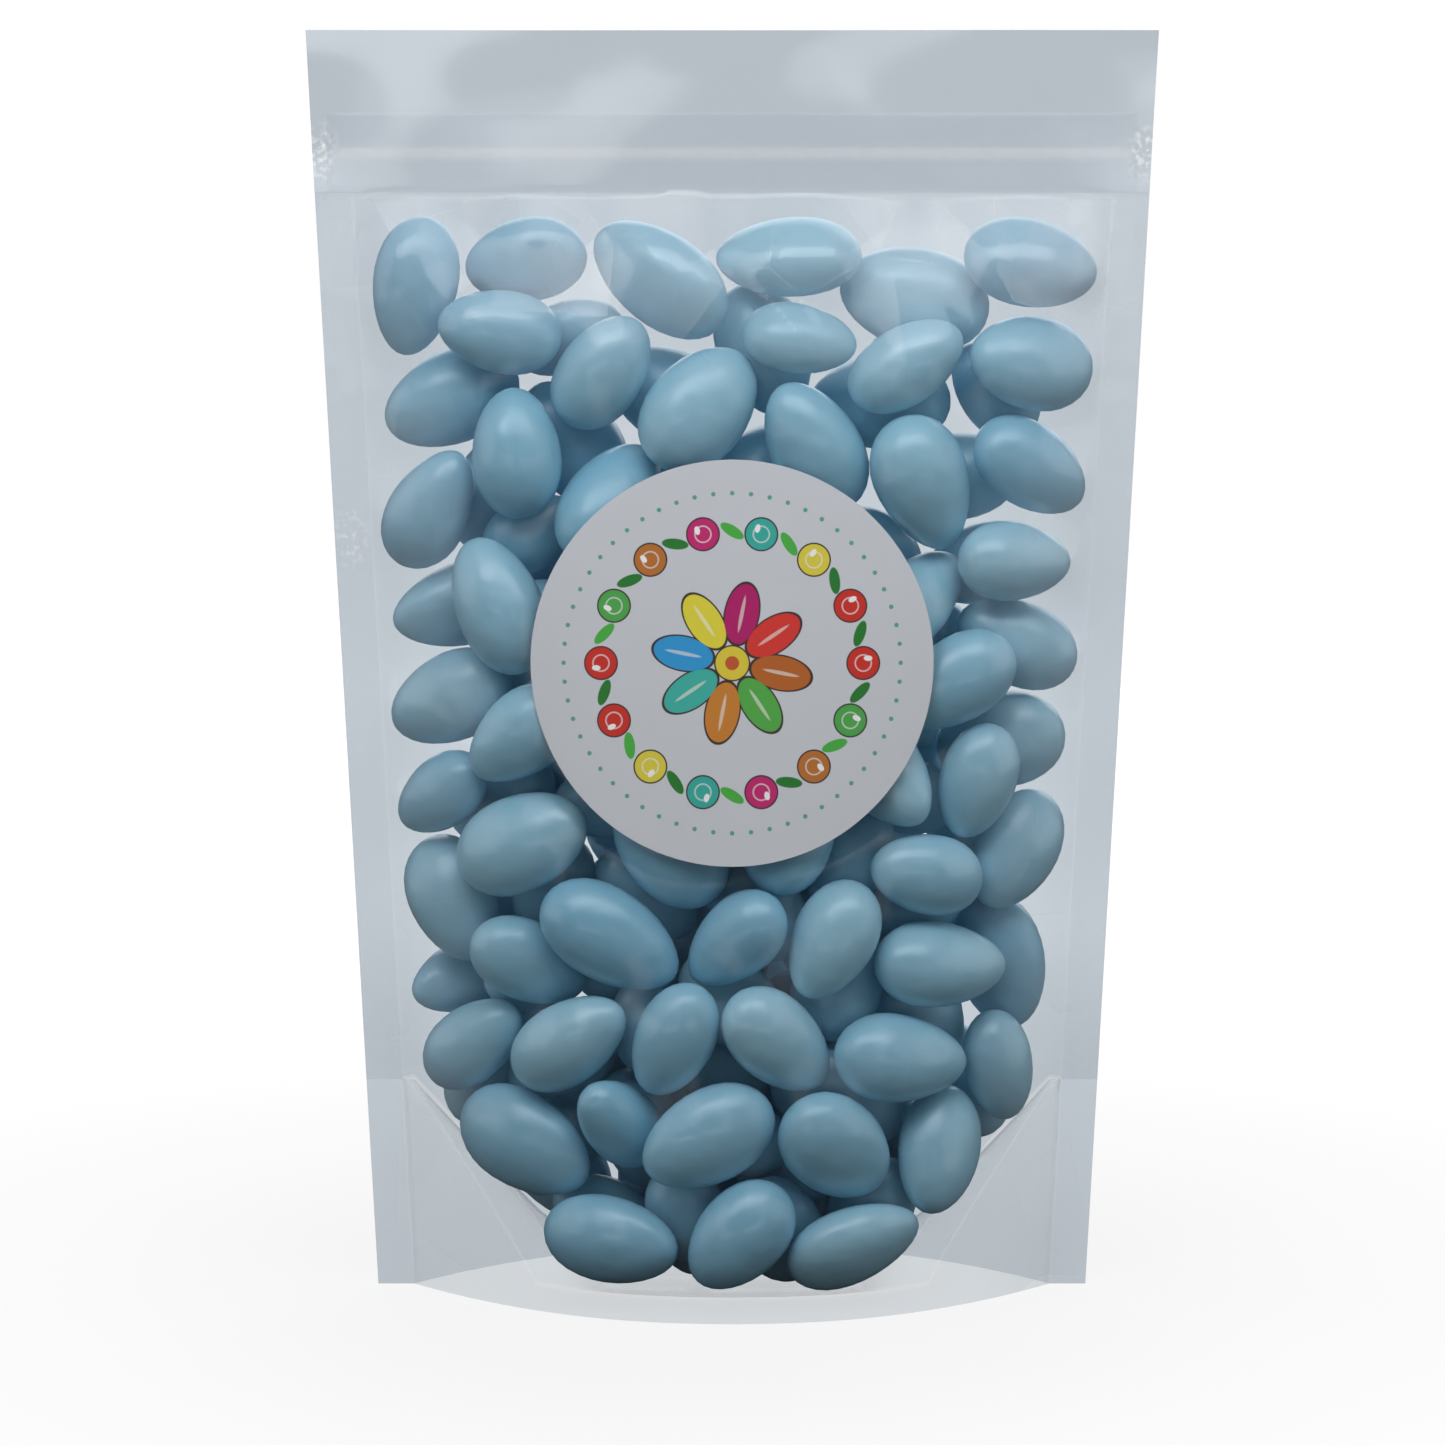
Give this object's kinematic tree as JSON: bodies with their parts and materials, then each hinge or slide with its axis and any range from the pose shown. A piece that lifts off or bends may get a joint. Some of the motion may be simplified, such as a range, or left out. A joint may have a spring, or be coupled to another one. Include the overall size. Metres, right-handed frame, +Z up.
{
  "type": "pouch of sugared almonds",
  "caption": "Clear stand-up zip pouch filled with satin blue sugared almonds, flat header with press-to-close zip, side seals, bottom gusset and a round sticker on the front",
  "frame": {"origin": "middle of the base that the pouch stands on", "axes": "+Z up the height of the pouch, X across its width, front face with the sticker towards -Y"},
  "size_m": [0.16, 0.0696, 0.24],
  "materials": {
    "film": "clear glossy film over satin pale blue almonds, shown as one solid",
    "label": "semi-gloss coated paper with a printed front"
  },
  "bodies": {
    "root": {"pouch": "film", "label": "label"}
  },
  "joints": []
}
